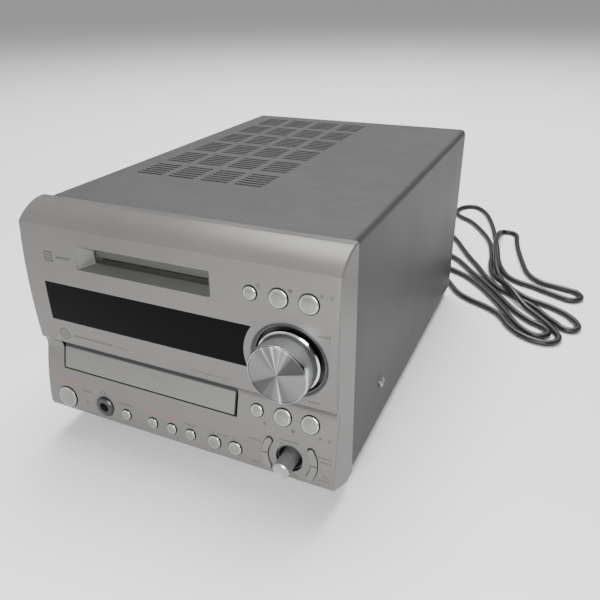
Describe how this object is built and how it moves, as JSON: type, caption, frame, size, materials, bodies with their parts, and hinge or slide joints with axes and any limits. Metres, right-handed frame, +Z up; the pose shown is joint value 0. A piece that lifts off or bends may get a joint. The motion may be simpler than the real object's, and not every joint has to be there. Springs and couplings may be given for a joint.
{
  "type": "cd minidisc tuner amplifier",
  "caption": "Half-width CD and MiniDisc tuner amplifier: opening disc tray, slot flap, working knobs, keys and buttons, vented cover and a loosely folded mains cord.",
  "frame": {"origin": "on the table below the middle of the unit, without its cord", "axes": "+X to the right seen from the front, +Y to the back, +Z up; the face looks along -Y"},
  "size_m": [0.3249, 0.5923, 0.1596],
  "materials": {
    "panel_silver": "silver paint on moulded plastic",
    "door_silver": "silver paint on moulded plastic",
    "smoked_window": "polished, smoked",
    "display_glass": "dark glass",
    "circuit_board": "solder resist",
    "black_plastic": "moulded",
    "jack_black": "moulded",
    "motor_steel": "plated can",
    "rubber": "moulded rubber",
    "mechanism_plastic": "moulded",
    "zinc_steel": "zinc plated sheet",
    "cover_paint": "fine grey paint on steel",
    "foot_plastic": "moulded",
    "screw_steel": "plated",
    "rear_paint": "paint on steel",
    "sink_aluminium": "extruded",
    "core_steel": "varnished laminations",
    "winding_copper": "enamelled copper under tape",
    "cord_rubber": "black vinyl sheath",
    "plug_black": "moulded vinyl with plated blades",
    "flap_grey": "grey moulded",
    "knob_chrome": "bright plated",
    "spun_aluminium": "spun rings",
    "selector_silver": "satin plated plastic",
    "tray_plastic": "moulded",
    "gear_plastic": "natural acetal",
    "traverse_plastic": "moulded with steel rails",
    "pickup_metal": "moulded with a glass lens",
    "button_silver": "silver paint",
    "key_silver": "silver paint"
  },
  "bodies": {
    "root": {"front_panel": "panel_silver", "display_window": "smoked_window", "display_module": "display_glass", "front_board": "circuit_board", "main_board": "circuit_board", "rotary_encoders": "black_plastic", "volume_well": "black_plastic", "selector_well": "black_plastic", "headphone_jack": "jack_black", "loading_motor": "motor_steel", "loading_belt": "rubber", "loader_frame": "mechanism_plastic", "clamper_bridge": "zinc_steel", "md_mechanism": "zinc_steel", "mechanism_bracket": "zinc_steel", "top_cover": "cover_paint", "chassis_base": "zinc_steel", "feet": "foot_plastic", "cover_screws": "screw_steel", "rear_panel": "rear_paint", "speaker_terminals": "black_plastic", "line_jacks": "black_plastic", "tuner_module": "zinc_steel", "heat_sink": "sink_aluminium", "transformer_core": "core_steel", "transformer_winding": "winding_copper", "strain_relief": "rubber", "power_cord": "cord_rubber", "cord_hank": "cord_rubber", "power_plug": "plug_black"},
    "md_flap": {"md_slot_door": "flap_grey"},
    "volume": {"volume_knob": "knob_chrome", "volume_knob_face": "spun_aluminium"},
    "selector": {"selector_knob": "selector_silver"},
    "tray": {"cd_tray": "tray_plastic", "cd_tray_door": "door_silver"},
    "tray_drive": {"tray_gear": "gear_plastic"},
    "motor_drive": {"motor_pulley": "gear_plastic"},
    "lift": {"traverse": "traverse_plastic", "spindle_motor": "motor_steel"},
    "disc_table": {"turntable": "tray_plastic"},
    "sled": {"optical_pickup": "pickup_metal"},
    "clamper": {"disc_clamper": "gear_plastic"},
    "md_eject_button": {"md_eject_button": "button_silver"},
    "md_stop_button": {"md_stop_button": "button_silver"},
    "md_play_button": {"md_play_button": "button_silver"},
    "cd_eject_button": {"cd_eject_button": "button_silver"},
    "cd_stop_button": {"cd_stop_button": "button_silver"},
    "cd_play_button": {"cd_play_button": "button_silver"},
    "power_button": {"power_button": "button_silver"},
    "timer_button": {"timer_button": "button_silver"},
    "record_button": {"record_button": "button_silver"},
    "dubbing_button": {"dubbing_button": "button_silver"},
    "tone_button": {"tone_button": "button_silver"},
    "preset_down_button": {"preset_down_button": "button_silver"},
    "preset_up_button": {"preset_up_button": "button_silver"},
    "lower_left_key": {"lower_left_key": "key_silver"},
    "upper_left_key": {"upper_left_key": "key_silver"},
    "lower_right_key": {"lower_right_key": "key_silver"},
    "upper_right_key": {"upper_right_key": "key_silver"}
  },
  "joints": [
    {"name": "md_flap_swing", "type": "hinge", "parent": "root", "child": "md_flap", "pos_m": [-0.015, -0.13998, 0.1375], "axis": [1, 0, 0], "range_deg": [0, 80], "stiffness_Nm_per_rad": 0.002, "springref_deg": -11.46},
    {"name": "volume_turn", "type": "hinge", "parent": "root", "child": "volume", "pos_m": [0.0751, -0.15262, 0.0987], "axis": [0, -1, 0], "continuous": true},
    {"name": "selector_turn", "type": "hinge", "parent": "root", "child": "selector", "pos_m": [0.0752, -0.15537, 0.0359], "axis": [0, -1, 0], "continuous": true},
    {"name": "tray_slide", "type": "slide", "parent": "root", "child": "tray", "axis": [0, -1, 0], "range_m": [0, 0.14]},
    {"name": "tray_gear_turn", "type": "hinge", "parent": "root", "child": "tray_drive", "pos_m": [-0.0708, -0.11698, 0.0565], "axis": [0, 0, 1], "range_deg": [0, 1003]},
    {"name": "motor_pulley_turn", "type": "hinge", "parent": "root", "child": "motor_drive", "pos_m": [-0.0708, -0.08498, 0.0565], "axis": [0, 0, 1], "range_deg": [0, 3232]},
    {"name": "lift_drop", "type": "hinge", "parent": "root", "child": "lift", "pos_m": [-0.02325, 0.02102, 0.047], "axis": [1, 0, 0], "range_deg": [0, 4]},
    {"name": "disc_spin", "type": "hinge", "parent": "lift", "child": "disc_table", "pos_m": [-0.02325, -0.07898, 0.061], "axis": [0, 0, 1], "continuous": true},
    {"name": "sled_slide", "type": "slide", "parent": "lift", "child": "sled", "axis": [0, 1, 0], "range_m": [0, 0.034]},
    {"name": "clamper_spin", "type": "hinge", "parent": "root", "child": "clamper", "pos_m": [-0.02325, -0.07898, 0.076], "axis": [0, 0, 1], "continuous": true},
    {"name": "md_eject_button_push", "type": "slide", "parent": "root", "child": "md_eject_button", "axis": [0, 0.9962, -0.0873], "range_m": [0, 0.0008], "stiffness_N_per_m": 1500, "springref_m": -0.0005},
    {"name": "md_stop_button_push", "type": "slide", "parent": "root", "child": "md_stop_button", "axis": [0, 0.9962, -0.0873], "range_m": [0, 0.0008], "stiffness_N_per_m": 1500, "springref_m": -0.0005},
    {"name": "md_play_button_push", "type": "slide", "parent": "root", "child": "md_play_button", "axis": [0, 0.9962, -0.0873], "range_m": [0, 0.0008], "stiffness_N_per_m": 1500, "springref_m": -0.0005},
    {"name": "cd_eject_button_push", "type": "slide", "parent": "root", "child": "cd_eject_button", "axis": [0, 0.9663, -0.2573], "range_m": [0, 0.0008], "stiffness_N_per_m": 1500, "springref_m": -0.0005},
    {"name": "cd_stop_button_push", "type": "slide", "parent": "root", "child": "cd_stop_button", "axis": [0, 0.9663, -0.2573], "range_m": [0, 0.0008], "stiffness_N_per_m": 1500, "springref_m": -0.0005},
    {"name": "cd_play_button_push", "type": "slide", "parent": "root", "child": "cd_play_button", "axis": [0, 0.9663, -0.2573], "range_m": [0, 0.0008], "stiffness_N_per_m": 1500, "springref_m": -0.0005},
    {"name": "power_button_push", "type": "slide", "parent": "root", "child": "power_button", "axis": [0, 0.9945, -0.1051], "range_m": [0, 0.0008], "stiffness_N_per_m": 1500, "springref_m": -0.0005},
    {"name": "timer_button_push", "type": "slide", "parent": "root", "child": "timer_button", "axis": [0, 0.9945, -0.1051], "range_m": [0, 0.0008], "stiffness_N_per_m": 1500, "springref_m": -0.0005},
    {"name": "record_button_push", "type": "slide", "parent": "root", "child": "record_button", "axis": [0, 0.9945, -0.1051], "range_m": [0, 0.0008], "stiffness_N_per_m": 1500, "springref_m": -0.0005},
    {"name": "dubbing_button_push", "type": "slide", "parent": "root", "child": "dubbing_button", "axis": [0, 0.9945, -0.1051], "range_m": [0, 0.0008], "stiffness_N_per_m": 1500, "springref_m": -0.0005},
    {"name": "tone_button_push", "type": "slide", "parent": "root", "child": "tone_button", "axis": [0, 0.9945, -0.1051], "range_m": [0, 0.0008], "stiffness_N_per_m": 1500, "springref_m": -0.0005},
    {"name": "preset_down_button_push", "type": "slide", "parent": "root", "child": "preset_down_button", "axis": [0, 0.9945, -0.1051], "range_m": [0, 0.0008], "stiffness_N_per_m": 1500, "springref_m": -0.0005},
    {"name": "preset_up_button_push", "type": "slide", "parent": "root", "child": "preset_up_button", "axis": [0, 0.9945, -0.1051], "range_m": [0, 0.0008], "stiffness_N_per_m": 1500, "springref_m": -0.0005},
    {"name": "lower_left_key_push", "type": "slide", "parent": "root", "child": "lower_left_key", "axis": [0, 0.9918, -0.128], "range_m": [0, 0.0008], "stiffness_N_per_m": 1500, "springref_m": -0.0005},
    {"name": "upper_left_key_push", "type": "slide", "parent": "root", "child": "upper_left_key", "axis": [0, 0.9918, -0.128], "range_m": [0, 0.0008], "stiffness_N_per_m": 1500, "springref_m": -0.0005},
    {"name": "lower_right_key_push", "type": "slide", "parent": "root", "child": "lower_right_key", "axis": [0, 0.9918, -0.128], "range_m": [0, 0.0008], "stiffness_N_per_m": 1500, "springref_m": -0.0005},
    {"name": "upper_right_key_push", "type": "slide", "parent": "root", "child": "upper_right_key", "axis": [0, 0.9918, -0.128], "range_m": [0, 0.0008], "stiffness_N_per_m": 1500, "springref_m": -0.0005}
  ],
  "couplings": [
    {"joint": "tray_gear_turn", "follows": "tray_slide", "rad_per_m": 125},
    {"joint": "motor_pulley_turn", "follows": "tray_slide", "rad_per_m": 402.78}
  ]
}
